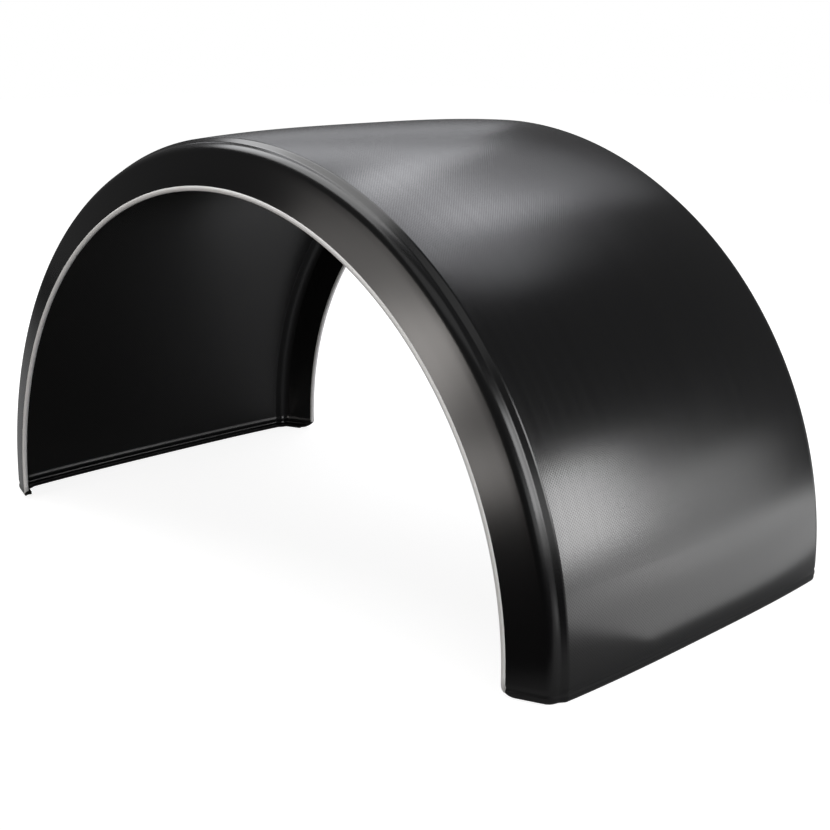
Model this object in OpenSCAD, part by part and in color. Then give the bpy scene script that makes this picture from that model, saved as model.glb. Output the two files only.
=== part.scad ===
// Half-round mudguard for a twin-tyred truck or trailer wheel, moulded as one sheet of black polyethylene.
// The origin is on the ground plane, midway between the two leg ends and midway across the width.
// X runs along the vehicle, Y across it along the wheel axle, and Z points up.

/* [Arch] */
// Outside radius of the crown at the middle of its width
crown_r = 609; // [450:1:750]
// Overall width across the two rims
overall_w = 650; // [450:1:800]
// Straight length of each leg below the wheel axle
leg_drop = 27; // [26:1:120]

/* [Sheet] */
// Thickness of the sheet
wall = 5; // [3:0.5:6]
// Fall of the crown from its middle to its edge
crown_fall = 6.5; // [2:0.5:12]

/* [Shoulder] */
// Width from the edge of the crown to the crease above the side flange
shoulder_w = 32; // [30:1:50]
// Fall from the middle of the crown to that crease
shoulder_fall = 21.5; // [20:0.5:30]
// Distance from the edge of the crown to the bottom of the groove, across the width
groove_w = 9.5; // [7:0.5:10]
// Depth of the groove below the edge of the crown
groove_depth = 5; // [4:0.5:7]
// Distance from the bottom of the groove to the top of the bead, across the width
bead_w = 9.5; // [9:0.5:12]
// Height of the bead above the bottom of the groove
bead_height = 1; // [1:0.5:3]
// Radius of the round where the bead turns into the side flange
crease_round = 7; // [6.5:0.5:9]

/* [Side flange] */
// Radial depth of a side flange from its crease to its free edge
flange_depth = 51; // [40:1:80]
// Angle by which a side flange leans outwards from the wheel's plane
flange_lean = 20; // [10:1:25]
// Diameter of the rounded rim along the free edge
rim_d = 7.4; // [7:0.1:9]
// Radius of the rounded bottom corners of the side flanges
corner_r = 25; // [15:1:26]

/* [Leg ends] */
// Width of the lip turned inwards at the bottom of each leg
lip_w = 15; // [13:1:18]
// Outside radius of the bend between leg and lip
lip_bend = 8; // [6.5:0.5:9]

/* [Hidden] */
sheet_colour = [0.05, 0.05, 0.055];
// Segments in each round of the section, in the lip's bend, and points on each half of the crown
round_steps = 5;
bend_steps = 5;
crown_steps = 6;
// Smallest round left where an inner outline would come to a sharp point
least_round = 0.05;
// Rounds at the edge of the crown, at the bottom of the groove and on top of the bead
crown_edge_round = 6.5;
groove_round = 5;
bead_round = 9;
// Overlap of a cut past the face that it opens
cut = 20;
half_w = overall_w / 2;

// Middle of the rim's round, on the -Y side, and the end of the sheet's outer face beside it
rim_y = half_w - rim_d / 2;
flange_end_y = rim_y + wall / 2 * cos(flange_lean);
crease_r = crown_r - shoulder_fall;
flange_end_r = crease_r - flange_depth;
rim_r = flange_end_r - wall / 2 * sin(flange_lean);
opening_r = rim_r - rim_d / 2;
crease_y = flange_end_y - flange_depth * tan(flange_lean);
crown_edge_y = crease_y - shoulder_w;
crown_edge_r = crown_r - crown_fall;
groove_r = crown_edge_r - groove_depth;

// Radius of the crown's outer face at a distance from the middle of the width
function crown_face(y) = crown_r - crown_fall * pow(y / crown_edge_y, 3);

// Corners of the outer face from the middle to one rim, each as radius, distance across and round
crown_corners = [for (i = [1:crown_steps - 1])
    let (y = crown_edge_y * i / crown_steps) [crown_face(y), y, 0]];
shoulder_corners = [
    [crown_edge_r, crown_edge_y, crown_edge_round],
    [groove_r, crown_edge_y + groove_w, groove_round],
    [groove_r + bead_height, crown_edge_y + groove_w + bead_w, bead_round]
];
flange_corners = [[crease_r, crease_y, crease_round], [flange_end_r, flange_end_y, 0]];

// A half outline made whole, running from the -Y rim to the +Y rim
function both_halves(half) = concat(
    [for (i = [len(half) - 1:-1:0]) [half[i][0], -half[i][1], half[i][2]]],
    [[crown_r, 0, 0]],
    half
);
sheet_corners = both_halves(concat(crown_corners, shoulder_corners, flange_corners));

function point(c) = [c[0], c[1]];
function unit(a, b) = (b - a) / norm(b - a);
function left_of(v) = [-v[1], v[0]];
function turned(v, a) = [v[0] * cos(a) - v[1] * sin(a), v[0] * sin(a) + v[1] * cos(a)];
function turn(u, v) = atan2(u[0] * v[1] - u[1] * v[0], u * v);

// Direction of the outline before and after its corner number i
function before(corners, i) = unit(point(corners[max(i, 1) - 1]), point(corners[max(i, 1)]));
function after(corners, i) =
    let (k = min(i, len(corners) - 2)) unit(point(corners[k]), point(corners[k + 1]));

// Corners of the face that lies a depth inside an outline, with their rounds made to match
function inset(corners, depth) = [for (i = [0:len(corners) - 1])
    let (
        n = left_of(before(corners, i)),
        m = left_of(after(corners, i)),
        bend = sign(turn(n, m)),
        place = point(corners[i]) + depth * (n + m) / (1 + n * m),
        round_r = corners[i][2]
    )
    [place[0], place[1], round_r == 0 ? 0 : max(round_r - bend * depth, least_round)]];

// Points of one rounded corner
function corner_points(corners, i) =
    let (
        u = before(corners, i),
        bend = turn(u, after(corners, i)),
        round_r = corners[i][2],
        start = point(corners[i]) - u * round_r * tan(abs(bend) / 2),
        centre = start + sign(bend) * round_r * left_of(u)
    )
    round_r == 0
        ? [point(corners[i])]
        : [for (k = [0:round_steps]) centre + turned(start - centre, bend * k / round_steps)];

// Points of the face that lies a depth inside the outer one, from rim to rim
function face_points(corners, depth) =
    let (inner = inset(corners, depth)) [for (i = [0:len(inner) - 1]) each corner_points(inner, i)];

function backwards(points) = [for (i = [len(points) - 1:-1:0]) points[i]];

// Section of the sheet, with X as the radius and Y across the width
module sheet_section() {
    polygon(concat(face_points(sheet_corners, 0), backwards(face_points(sheet_corners, wall))));
    for (side = [-1, 1]) translate([rim_r, side * rim_y]) circle(d = rim_d, $fn = 32);
}

// Space inside an outline, open towards the wheel
module inside(corners, depth) {
    face = face_points(corners, depth);
    polygon(concat(
        [[opening_r - cut, face[0][1]]],
        face,
        [[opening_r - cut, face[len(face) - 1][1]]]
    ));
}

// Envelope of a leg, clear of its sides and drawn in round its bottom edge by the lip's bend.
// Its first and last facets run on past the bend, so that they cross the sheet's faces at an angle.
module leg_envelope() {
    step = 90 / bend_steps;
    margin = (rim_d - wall) / 2 + 1;
    under = 0.5;
    run_on = margin / tan(step / 2);
    run_under = under / tan(step / 2);
    rings = concat(
        [[-margin, leg_drop + run_on], [-margin, lip_bend + run_on]],
        [for (a = [step:step:90 - step / 2]) [lip_bend * (1 - cos(a)), lip_bend * (1 - sin(a))]],
        [[lip_bend + run_under, -under]]
    );
    rows = [for (ring = rings)
        let (face = face_points(sheet_corners, ring[0]), last = len(face) - 1)
        [
            [opening_r - cut, face[0][1], ring[1]],
            for (p = face) [p[0], p[1], ring[1]],
            [opening_r - cut, face[last][1], ring[1]]
        ]];
    count = len(rows[0]);
    levels = len(rows);
    polyhedron(
        points = [for (row = rows) each row],
        faces = concat(
            [[for (i = [count - 1:-1:0]) i]],
            [for (k = [0:levels - 2], i = [0:count - 1])
                let (j = (i + 1) % count)
                [k * count + i, k * count + j, (k + 1) * count + j, (k + 1) * count + i]],
            [[for (i = [0:count - 1]) (levels - 1) * count + i]]
        )
    );
}

// Straight sheet of a leg, with its rims and the flat lip turned inwards at the bottom
module leg_sheet() {
    union() {
        difference() {
            linear_extrude(leg_drop) polygon(face_points(sheet_corners, 0));
            translate([0, 0, wall]) linear_extrude(leg_drop) inside(sheet_corners, wall);
            translate([0, 0, -cut]) linear_extrude(cut + 2 * wall) inside(sheet_corners, lip_w);
        }
        for (side = [-1, 1])
            translate([rim_r, side * rim_y, 0]) cylinder(d = rim_d, h = leg_drop, $fn = 32);
    }
}

// Leg below the axle on the +X side
module leg() {
    intersection() {
        difference() {
            leg_sheet();
            rotate([90, 0, 0]) translate([0, 0, -half_w - cut])
                linear_extrude(overall_w + 2 * cut) corner_cut();
        }
        leg_envelope();
    }
}

// What the rounded bottom corner of a side flange leaves out, with X as the radius and Y upwards
module corner_cut() {
    difference() {
        translate([opening_r - cut, -cut]) square(corner_r + cut);
        translate([opening_r + corner_r, corner_r]) circle(corner_r, $fn = 96);
        translate([opening_r, corner_r]) square([corner_r + cut, cut]);
    }
}

module mudguard_shell() {
    color(sheet_colour) union() {
        translate([0, 0, leg_drop]) rotate([90, 0, 0])
            rotate_extrude(angle = 180, $fn = 180) sheet_section();
        leg();
        mirror([1, 0, 0]) leg();
    }
}

mudguard_shell();
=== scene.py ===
from math import atan2, cos, pi, radians, sin, sqrt, tan

import bmesh
import bpy
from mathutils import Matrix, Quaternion, Vector


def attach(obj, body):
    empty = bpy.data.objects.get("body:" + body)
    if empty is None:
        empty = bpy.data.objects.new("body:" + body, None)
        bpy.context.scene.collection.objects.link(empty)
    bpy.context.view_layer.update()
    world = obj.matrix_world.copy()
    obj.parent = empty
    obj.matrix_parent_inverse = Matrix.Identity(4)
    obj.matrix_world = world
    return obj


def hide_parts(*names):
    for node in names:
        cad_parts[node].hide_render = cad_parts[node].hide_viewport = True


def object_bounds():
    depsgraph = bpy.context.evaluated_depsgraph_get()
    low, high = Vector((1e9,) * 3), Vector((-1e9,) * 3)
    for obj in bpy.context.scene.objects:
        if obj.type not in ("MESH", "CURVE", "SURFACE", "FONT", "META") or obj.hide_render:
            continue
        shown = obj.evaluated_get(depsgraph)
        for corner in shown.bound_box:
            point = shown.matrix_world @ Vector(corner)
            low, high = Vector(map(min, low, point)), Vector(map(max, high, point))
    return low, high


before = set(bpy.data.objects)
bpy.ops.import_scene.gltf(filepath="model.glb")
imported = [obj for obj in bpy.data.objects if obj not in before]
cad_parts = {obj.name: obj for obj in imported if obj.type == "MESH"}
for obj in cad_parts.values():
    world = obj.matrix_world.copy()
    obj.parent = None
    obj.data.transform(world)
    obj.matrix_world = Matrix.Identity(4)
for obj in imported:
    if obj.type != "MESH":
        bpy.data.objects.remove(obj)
cad_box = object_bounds()

# Camera
# It stands to the right of the guard's near end, a little above the crown, and looks down into the
# wheel space. The picture is square, 830 pixels a side, and its focal length is given in those pixels.
PICTURE = 830
FOCAL_PIXELS = 1476
SENSOR = 36
VIEW_AZIMUTH = radians(44.607)
VIEW_ELEVATION = radians(14.932)
VIEW_ROLL = radians(0.222)
VIEW_POINT = (1.5975, -1.5507, 0.7821)
camera_data = bpy.data.cameras.new("camera")
camera_data.sensor_width = SENSOR
camera_data.lens = FOCAL_PIXELS * SENSOR / PICTURE
camera = bpy.data.objects.new("camera", camera_data)
bpy.context.scene.collection.objects.link(camera)
camera.location = VIEW_POINT
look = Vector((-sin(VIEW_AZIMUTH) * cos(VIEW_ELEVATION), cos(VIEW_AZIMUTH) * cos(VIEW_ELEVATION),
               -sin(VIEW_ELEVATION)))
camera.rotation_mode = "QUATERNION"
camera.rotation_quaternion = look.to_track_quat("-Z", "Y") @ Quaternion((0, 0, 1), VIEW_ROLL)
bpy.context.scene.camera = camera
bpy.context.scene.view_settings.view_transform = "Standard"

# Moulded shell
# One 5 mm sheet of black polyethylene, vacuum moulded over a half-round form. The crown is slightly
# domed and falls over a soft step to a bead, which rolls over into the side flange. The bottom of
# each leg is turned inwards as a lip.
MM = 0.001
LEG_DROP = 27 * MM
WALL = 5 * MM
CROWN_FALL = 7 * MM
EDGE_INSET = 43.5 * MM
STEP_W = 8 * MM
STEP_FALL = 5.6 * MM
BEAD_SLOPE = radians(13)
# From the middle of the crown to the crease, where the flange's depth starts
CREASE_FALL = 21.5 * MM
FLANGE_DEPTH = 51 * MM
FLANGE_LEAN = radians(20)
RIM_D = 7.4 * MM
CORNER_R = 25 * MM
LIP_W = 15 * MM
LIP_BEND = 8 * MM
# Height in mm of each ring of a leg above its bend, and how deep the hollow above the lip is there
HOLLOW = ((25, 0), (21, 0), (17.5, 0), (15, 0.8), (12.5, 0.9), (10, 0))
EDGE_ROUND, STEP_ROUND, ROLL_ROUND = 8 * MM, 9 * MM, 18 * MM
# Smallest round left where an inner outline would come to a sharp point
LEAST_ROUND = 0.05 * MM
CROWN_STEPS, FLANGE_STEPS, ROUND_STEPS = 16, 3, 10
ARCH_STEPS = 160
BEND_STEPS = 8
# Plain strip between the grain and the edge of the crown
PLAIN_STRIP = 1 * MM
TRIM_W = 0.8 * MM
TRIM_ANGLE = radians(55)

crown_r = cad_box[1].z - LEG_DROP
half_w = cad_box[1].y
rim_y = half_w - RIM_D / 2
flange_end_y = rim_y + WALL / 2 * cos(FLANGE_LEAN)
flange_end_r = crown_r - CREASE_FALL - FLANGE_DEPTH
rim_r = flange_end_r - WALL / 2 * sin(FLANGE_LEAN)
opening_r = rim_r - RIM_D / 2
crown_edge_y = half_w - EDGE_INSET
crown_edge_r = crown_r - CROWN_FALL
step_r, step_y = crown_edge_r - STEP_FALL, crown_edge_y + STEP_W
# The roll's corner, where the bead's slope meets the line of the flange
lean, slope = tan(FLANGE_LEAN), tan(BEAD_SLOPE)
roll_y = (flange_end_y - lean * (step_r - flange_end_r) - lean * slope * step_y) / (1 - lean * slope)
roll_r = step_r - slope * (roll_y - step_y)


def outline(end_r):
    """Corners (radius, y, round) of the outer face, from rim to rim, with the flanges ending at end_r."""
    half = []
    for i in range(1, CROWN_STEPS):
        share = i / CROWN_STEPS
        half.append((crown_r - CROWN_FALL * share ** 3, crown_edge_y * share, 0))
    half.append((crown_edge_r, crown_edge_y, EDGE_ROUND))
    half.append((step_r, step_y, STEP_ROUND))
    half.append((roll_r, roll_y, ROLL_ROUND))
    for i in range(1, FLANGE_STEPS + 1):
        r = roll_r + (end_r - roll_r) * i / FLANGE_STEPS
        half.append((r, roll_y + (roll_r - r) * lean, 0))
    return [(r, -y, bend) for r, y, bend in reversed(half)] + [(crown_r, 0, 0)] + half


def face_points(depth, end_r=flange_end_r):
    """Points (radius, y) of the face that lies a depth inside the outer one, with rounded corners."""
    corners = outline(end_r)
    ways = [Vector((b[0] - a[0], b[1] - a[1])).normalized() for a, b in zip(corners, corners[1:])]
    points = []
    for i, (r, y, bend_r) in enumerate(corners):
        before, after = ways[max(i - 1, 0)], ways[min(i, len(ways) - 1)]
        n, m = Vector((-before.y, before.x)), Vector((-after.y, after.x))
        place = Vector((r, y)) + (n + m) * depth / (1 + n.dot(m))
        if bend_r == 0:
            points.append(place)
            continue
        turn = atan2(before.x * after.y - before.y * after.x, before.dot(after))
        side = 1 if turn > 0 else -1
        bend_r = max(bend_r - side * depth, LEAST_ROUND)
        start = place - before * bend_r * tan(abs(turn) / 2)
        centre = start + n * side * bend_r
        arm = start - centre
        for k in range(ROUND_STEPS + 1):
            a = turn * k / ROUND_STEPS
            swung = Vector((arm.x * cos(a) - arm.y * sin(a), arm.x * sin(a) + arm.y * cos(a)))
            points.append(centre + swung)
    return points


def flange_end(z):
    """Radius at which the flange ends at a height, where its bottom corner is rounded."""
    if z >= CORNER_R:
        return flange_end_r
    return max(flange_end_r, opening_r + CORNER_R - sqrt(CORNER_R ** 2 - (CORNER_R - z) ** 2))


def leg_rings():
    """Height and inset of each ring of a leg, down to the lip's free edge."""
    rings = [(z * MM, inset * MM) for z, inset in HOLLOW] + [(LIP_BEND, 0)]
    for k in range(1, BEND_STEPS + 1):
        a = pi / 2 * k / BEND_STEPS
        rings.append((LIP_BEND * (1 - sin(a)), LIP_BEND * (1 - cos(a))))
    return rings + [(0, LIP_W)]


def in_order(edges):
    """Vertices along a run of edges, from its -Y end."""
    loose = {v for e in edges for v in e.verts}
    run = [min(loose, key=lambda v: v.co.y)]
    while len(run) < len(loose):
        run.append(next(v for e in run[-1].link_edges for v in e.verts if v in loose and v not in run[-2:]))
    return run


sheet = bmesh.new()
first = [sheet.verts.new((p.x, p.y, LEG_DROP)) for p in face_points(0)]
edges = [sheet.edges.new(pair) for pair in zip(first, first[1:])]
spun = bmesh.ops.spin(sheet, geom=first + edges, cent=(0, 0, LEG_DROP), axis=(0, -1, 0), dvec=(0, 0, 0),
                      angle=pi, steps=ARCH_STEPS)
last_edges = [e for e in spun["geom_last"] if isinstance(e, bmesh.types.BMEdge)]
for side, row in ((1, edges), (-1, last_edges)):
    for z, inset in leg_rings():
        drawn = bmesh.ops.extrude_edge_only(sheet, edges=row)["geom"]
        row = [e for e in drawn if isinstance(e, bmesh.types.BMEdge)]
        for v, p in zip(in_order(row), face_points(inset, flange_end(z))):
            v.co = (side * p.x, p.y, z)
bmesh.ops.recalc_face_normals(sheet, faces=sheet.faces)
top = max(sheet.faces, key=lambda f: f.calc_center_median().z)
if top.normal.z < 0:
    bmesh.ops.reverse_faces(sheet, faces=sheet.faces)

# Distance round the arch and across the sheet, in metres, for the grain to follow
uv = sheet.loops.layers.uv.new("sheet")
for f in sheet.faces:
    f.smooth = True
    middle = f.calc_center_median()
    for loop in f.loops:
        x, y, z = loop.vert.co
        height = z - LEG_DROP
        angle = atan2(height, abs(x)) if height > 0 else 0
        along = crown_r * (pi / 2 - angle) - min(height, 0)
        loop[uv].uv = ((along if x > 0 else -along), y)
    f.material_index = 0 if abs(middle.y) < crown_edge_y - PLAIN_STRIP else 1
sheet_mesh = bpy.data.meshes.new("mudguard_sheet")
sheet.to_mesh(sheet_mesh)
sheet.free()
shell = bpy.data.objects.new("mudguard_sheet", sheet_mesh)
bpy.context.scene.collection.objects.link(shell)
thick = shell.modifiers.new("wall", "SOLIDIFY")
thick.thickness = WALL
thick.offset = -1
thick.use_even_offset = True
thick.use_quality_normals = True
trim = shell.modifiers.new("trimmed_edges", "BEVEL")
trim.width = TRIM_W
trim.segments = 2
trim.limit_method = "ANGLE"
trim.angle_limit = TRIM_ANGLE
trim.harden_normals = True


def linear(hex_colour):
    """An sRGB hex colour as linear red, green, blue and alpha."""
    parts = [int(hex_colour[i:i + 2], 16) / 255 for i in (0, 2, 4)]
    return [p / 12.92 if p <= 0.04045 else ((p + 0.055) / 1.055) ** 2.4 for p in parts] + [1]


def add_node(tree, kind, settings=(), inputs=(), links=()):
    """Adds a node with its settings, its inputs' values, and links into it as (input, node, output)."""
    node = tree.nodes.new(kind)
    for name, value in dict(settings).items():
        setattr(node, name, value)
    for name, value in dict(inputs).items():
        node.inputs[name].default_value = value
    for name, source, output in links:
        tree.links.new(source.outputs[output], node.inputs[name])
    return node


# Black polyethylene, vacuum moulded: a deep black with a satin gloss from the warm mould, faint draw
# streaks round the arch, and on the crown the fine diagonal grain that the sheet was rolled with.
# The grain shows as a weave of lighter ridges, drawn about as coarse as the picture can show it.
BLACK = "09090a"
BLACK_IOR = 1.54
GRAINED_ROUGHNESS, SMOOTH_ROUGHNESS, ROUGHNESS_SPREAD = 0.23, 0.22, 0.012
GRAIN_PITCH = 3.2 * MM
GRAIN_HEIGHT = 0.02 * MM
PIT_SHINE, RIDGE_SHINE = 0.41, 0.59
STREAK_WIDTH = 9 * MM
STREAKS_PER_METRE = 1.2
STREAK_DEPTH = 0.1 * MM
STREAK_STRENGTH = 0.04


def polyethylene(name, grained, roughness):
    material = bpy.data.materials.new(name)
    material.use_nodes = True
    tree = material.node_tree
    shader = tree.nodes["Principled BSDF"]
    shader.inputs["Base Color"].default_value = linear(BLACK)
    shader.inputs["IOR"].default_value = BLACK_IOR
    place = add_node(tree, "ShaderNodeUVMap", {"uv_map": "sheet"})
    drawn = add_node(tree, "ShaderNodeMapping", inputs={"Scale": (STREAKS_PER_METRE, 1 / STREAK_WIDTH, 1)},
                     links=[("Vector", place, "UV")])
    streaks = add_node(tree, "ShaderNodeTexNoise", {"noise_dimensions": "2D"}, {"Scale": 1, "Detail": 4},
                       [("Vector", drawn, "Vector")])
    gloss = add_node(tree, "ShaderNodeMapRange",
                     inputs={"From Min": 0.3, "From Max": 0.7, "To Min": roughness - ROUGHNESS_SPREAD,
                             "To Max": roughness + ROUGHNESS_SPREAD}, links=[("Value", streaks, "Fac")])
    tree.links.new(gloss.outputs["Result"], shader.inputs["Roughness"])
    ripple = add_node(tree, "ShaderNodeBump",
                      inputs={"Strength": STREAK_STRENGTH, "Distance": STREAK_DEPTH},
                      links=[("Height", streaks, "Fac")])
    if grained:
        across = add_node(tree, "ShaderNodeSeparateXYZ", links=[("Vector", place, "UV")])
        turns_per_metre = 2 * pi / GRAIN_PITCH / sqrt(2)
        waves = []
        for way in (1, -1):
            slant = add_node(tree, "ShaderNodeMath", {"operation": "MULTIPLY_ADD"}, {1: way},
                             [(0, across, "Y"), (2, across, "X")])
            turns = add_node(tree, "ShaderNodeMath", {"operation": "MULTIPLY"}, {1: turns_per_metre},
                             [(0, slant, "Value")])
            waves.append(add_node(tree, "ShaderNodeMath", {"operation": "SINE"},
                                  links=[(0, turns, "Value")]))
        weave = add_node(tree, "ShaderNodeMath", {"operation": "MAXIMUM"},
                         links=[(0, waves[0], "Value"), (1, waves[1], "Value")])
        # The grain's pits hold less light than its ridges
        shine = add_node(tree, "ShaderNodeMapRange",
                         inputs={"From Min": -0.3, "To Min": PIT_SHINE, "To Max": RIDGE_SHINE},
                         links=[("Value", weave, "Value")])
        tree.links.new(shine.outputs["Result"], shader.inputs["Specular IOR Level"])
        ripple = add_node(tree, "ShaderNodeBump", inputs={"Strength": 1, "Distance": GRAIN_HEIGHT},
                          links=[("Height", weave, "Value"), ("Normal", ripple, "Normal")])
    tree.links.new(ripple.outputs["Normal"], shader.inputs["Normal"])
    return material


shell.data.materials.append(polyethylene("grained_polyethylene", True, GRAINED_ROUGHNESS))
shell.data.materials.append(polyethylene("smooth_polyethylene", False, SMOOTH_ROUGHNESS))
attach(shell, "root")
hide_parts("mudguard_shell")

# Pale rims
# The free edge of each side flange is the same sheet, turned over a bead, and its white colour is a painted
# highlight standing in for the light the glossy rim reflects.
# It follows the arch and both legs and thins out as it turns under at the rounded corners.
RIM_SEGMENTS = 20
# Painted highlight: milky white with a soft gloss, with painted shade that makes it a little greyer
# towards the black flange, so that the rim looks rounded and slightly translucent
RIM_PAINTED_HIGHLIGHT = "ffffff"
RIM_PAINTED_SHADE = "eeeeec"
PALE_ROUGHNESS = 0.4
pale = bpy.data.materials.new("painted_highlight_rim")
pale.use_nodes = True
tree = pale.node_tree
pale_shader = tree.nodes["Principled BSDF"]
pale_shader.inputs["Roughness"].default_value = PALE_ROUGHNESS
place = add_node(tree, "ShaderNodeTexCoord")
flat = add_node(tree, "ShaderNodeVectorMath", {"operation": "MULTIPLY"}, {1: (1, 0, 1)},
                [(0, place, "Object")])
from_axle = add_node(tree, "ShaderNodeVectorMath", {"operation": "SUBTRACT"}, {1: (0, 0, LEG_DROP)},
                     [(0, flat, "Vector")])
radius = add_node(tree, "ShaderNodeVectorMath", {"operation": "LENGTH"}, links=[(0, from_axle, "Vector")])
# Painted shade on the rim: white at its inner edge, greyer towards the flange, by distance from the axle
outwards = add_node(tree, "ShaderNodeMapRange",
                    inputs={"From Min": opening_r, "From Max": opening_r + RIM_D},
                    links=[("Value", radius, "Value")])
shade = add_node(tree, "ShaderNodeMix", {"data_type": "RGBA"},
                 {6: linear(RIM_PAINTED_HIGHLIGHT), 7: linear(RIM_PAINTED_SHADE)}, [(0, outwards, "Result")])
tree.links.new(shade.outputs[2], pale_shader.inputs["Base Color"])
for name, side in (("rim_near", -1), ("rim_far", 1)):
    tube = bmesh.new()
    ring = bmesh.ops.create_circle(tube, segments=RIM_SEGMENTS, radius=RIM_D / 2)["verts"]
    bmesh.ops.translate(tube, verts=ring, vec=(rim_r, side * rim_y, LEG_DROP))
    ring_edges = list({e for v in ring for e in v.link_edges})
    spun = bmesh.ops.spin(tube, geom=ring + ring_edges, cent=(0, 0, LEG_DROP), axis=(0, -1, 0),
                          dvec=(0, 0, 0), angle=pi, steps=ARCH_STEPS)
    ends = [ring_edges, [e for e in spun["geom_last"] if isinstance(e, bmesh.types.BMEdge)]]
    for row in ends:
        drawn = bmesh.ops.extrude_edge_only(tube, edges=row)["geom"]
        row = [e for e in drawn if isinstance(e, bmesh.types.BMEdge)]
        for v in {v for e in row for v in e.verts}:
            reach = min(abs(v.co.x) - opening_r, RIM_D)
            v.co.z = CORNER_R - sqrt(CORNER_R ** 2 - (CORNER_R - max(reach, 0)) ** 2)
        bmesh.ops.edgeloop_fill(tube, edges=row)
    bmesh.ops.recalc_face_normals(tube, faces=tube.faces)
    for f in tube.faces:
        f.smooth = True
    rim_mesh = bpy.data.meshes.new(name)
    tube.to_mesh(rim_mesh)
    tube.free()
    rim = bpy.data.objects.new(name, rim_mesh)
    bpy.context.scene.collection.objects.link(rim)
    rim.data.materials.append(pale)
    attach(rim, "root")

# Floor and studio light
# The guard stands on a white sheet that ends in front of it, on a dark studio floor. Soft boxes stand
# low at the right and at the left of the camera, others hang in a bow behind and above the crown, and
# white cards lie on the floor at the right.
FLOOR_SIZE = 12
SHEET_TONE, STUDIO_TONE = "a4a4a4", "303030"
# Where the white sheet begins to fade, and where it is gone, in metres across the guard
SHEET_END_Y, STUDIO_Y = -0.32, -0.42
# The camera sees the floor as white, and a little less near the guard, where its shadow falls
SHADOW_GLOW = 0.88
GLOW_NEAR, GLOW_FAR = 0.7, 1.6
FLOOR_ROUGHNESS = 0.9
WORLD_LIGHT = 0.1
BOX_DISTANCE = 2.5
AIM_HEIGHT = 0.35
CARD_HEIGHT = 0.01
floor = bmesh.new()
bmesh.ops.create_grid(floor, x_segments=1, y_segments=1, size=FLOOR_SIZE)
floor_mesh = bpy.data.meshes.new("floor")
floor.to_mesh(floor_mesh)
floor.free()
floor_object = bpy.data.objects.new("floor", floor_mesh)
bpy.context.scene.collection.objects.link(floor_object)
white = bpy.data.materials.new("white_floor")
white.use_nodes = True
tree = white.node_tree
floor_shader = tree.nodes["Principled BSDF"]
floor_shader.inputs["Roughness"].default_value = FLOOR_ROUGHNESS
floor_shader.inputs["Specular IOR Level"].default_value = 0
floor_shader.inputs["Emission Color"].default_value = linear("ffffff")
ray = add_node(tree, "ShaderNodeLightPath")
place = add_node(tree, "ShaderNodeTexCoord")
sides = add_node(tree, "ShaderNodeSeparateXYZ", links=[("Vector", place, "Object")])
on_sheet = add_node(tree, "ShaderNodeMapRange", inputs={"From Min": STUDIO_Y, "From Max": SHEET_END_Y},
                    links=[("Value", sides, "Y")])
tone = add_node(tree, "ShaderNodeMix", {"data_type": "RGBA"},
                {6: linear(STUDIO_TONE), 7: linear(SHEET_TONE)}, [(0, on_sheet, "Result")])
tree.links.new(tone.outputs[2], floor_shader.inputs["Base Color"])
away = add_node(tree, "ShaderNodeVectorMath", {"operation": "LENGTH"}, links=[(0, place, "Object")])
near_glow = add_node(tree, "ShaderNodeMapRange", inputs={"To Min": 1, "To Max": SHADOW_GLOW},
                     links=[("Value", on_sheet, "Result")])
glow = add_node(tree, "ShaderNodeMapRange", inputs={"From Min": GLOW_NEAR, "From Max": GLOW_FAR},
                links=[("Value", away, "Value"), ("To Min", near_glow, "Result")])
seen = add_node(tree, "ShaderNodeMath", {"operation": "MULTIPLY"},
                links=[(0, ray, "Is Camera Ray"), (1, glow, "Result")])
tree.links.new(seen.outputs["Value"], floor_shader.inputs["Emission Strength"])
floor_object.data.materials.append(white)

world = bpy.data.worlds.new("studio")
bpy.context.scene.world = world
world.use_nodes = True
tree = world.node_tree
background = tree.nodes["Background"]
background.inputs["Color"].default_value = (1, 1, 1, 1)
ray = add_node(tree, "ShaderNodeLightPath")
dim = add_node(tree, "ShaderNodeMapRange", inputs={"To Min": WORLD_LIGHT, "To Max": 1},
               links=[("Value", ray, "Is Camera Ray")])
tree.links.new(dim.outputs["Result"], background.inputs["Strength"])


def area_lamp(name, width, height, radiance):
    """A rectangular lamp whose face shines at a radiance, where 1 shows as white."""
    data = bpy.data.lights.new(name, "AREA")
    data.shape = "RECTANGLE"
    data.size, data.size_y = width, height
    data.energy = radiance * width * height * pi
    lamp = bpy.data.objects.new(name, data)
    bpy.context.scene.collection.objects.link(lamp)
    return lamp


def soft_box(name, azimuth, elevation, width, height, radiance):
    """A soft box that faces the guard's middle from a direction in degrees."""
    lamp = area_lamp(name, width, height, radiance)
    a, e = radians(azimuth), radians(elevation)
    away = Vector((cos(a) * cos(e), sin(a) * cos(e), sin(e)))
    lamp.location = Vector((0, 0, AIM_HEIGHT)) + away * BOX_DISTANCE
    lamp.rotation_mode = "QUATERNION"
    lamp.rotation_quaternion = away.to_track_quat("Z", "Y")
    return lamp


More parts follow.
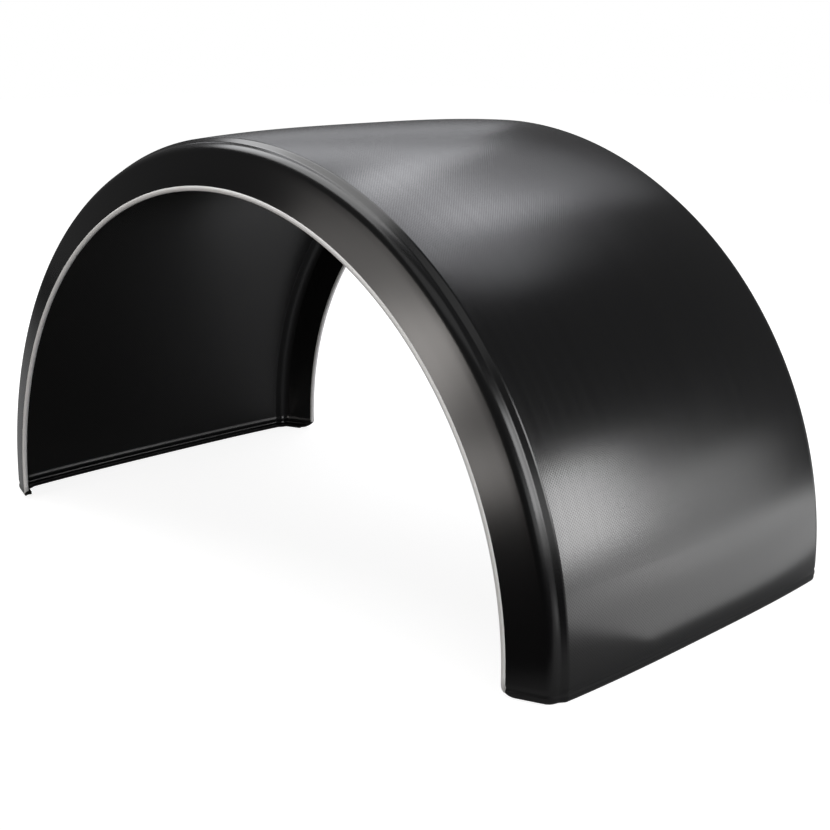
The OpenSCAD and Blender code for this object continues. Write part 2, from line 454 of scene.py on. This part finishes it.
# Azimuth and elevation in degrees, width and height in metres, and radiance of each soft box
SOFT_BOXES = {
    "right_box": (28, 4, 0.76, 0.85, 8.6), "right_box_edge": (44, -2, 0.4, 0.5, 1.8),
    "front_right_box": (0, 20, 1.06, 1.06, 5.5), "front_right_foot": (0, 7, 1.06, 0.5, 1.8),
    "front_fill": (-24, 8, 1.0, 0.6, 1.3),
    "bow_right": (80, 50, 1.1, 0.55, 1.4), "bow_middle": (106, 50, 1.1, 0.55, 2.4),
    "bow_left": (134, 50, 1.2, 0.55, 0.95), "bow_top": (92, 62, 1.3, 0.55, 2.0),
    "bow_foot": (106, 38, 1.1, 0.5, 0.6), "bow_left_foot": (134, 38, 1.1, 0.5, 1.6),
    "bow_end": (182, 50, 1.0, 0.8, 1.5), "bow_back": (160, 62, 1.2, 0.6, 0.5),
    "bow_horizon": (140, 23, 1.3, 0.5, 0.7), "top_front_fill": (-45, 54, 1.8, 1.2, 0.5),
    "left_box": (-97, 12, 0.7, 0.36, 7.6), "left_box_middle": (-94, 4, 0.5, 0.36, 7.0),
    "left_box_foot": (-86, -3, 0.6, 0.3, 5.4), "left_box_side": (-110, 20, 0.9, 0.4, 2.1),
}
# Middle in metres, width, depth and radiance of each card on the floor
FLOOR_CARDS = {"near_card": (1.35, 0.75, 0.9, 0.9, 1.15), "far_card": (1.9, 1.2, 1.0, 1.0, 0.6),
               "side_card": (1.2, 0.2, 0.5, 0.7, 0.7), "foot_card": (0.9, 0.5, 0.5, 1.15, 1.25)}
# The boxes at the left shine a little warmer than the others, and those of the bow a little cooler
TINTS = {"left": "fffaf6", "bow": "f9faff"}
# One large box over the near shoulder, facing straight down: width, depth, radiance and middle
OVERHEAD_BOX = (3.0, 2.0, 3.0)
OVERHEAD_PLACE = (-1.3, -0.15, 2.8)
for name, (azimuth, elevation, width, height, radiance) in SOFT_BOXES.items():
    box = soft_box(name, azimuth, elevation, width, height, radiance)
    box.data.color = linear(TINTS.get(name.split("_")[0], "ffffff"))[:3]
area_lamp("overhead_box", *OVERHEAD_BOX).location = OVERHEAD_PLACE
for name, (x, y, width, depth, radiance) in FLOOR_CARDS.items():
    card = area_lamp(name, width, depth, radiance)
    card.location = (x, y, CARD_HEIGHT)
    card.rotation_euler = (pi, 0, 0)
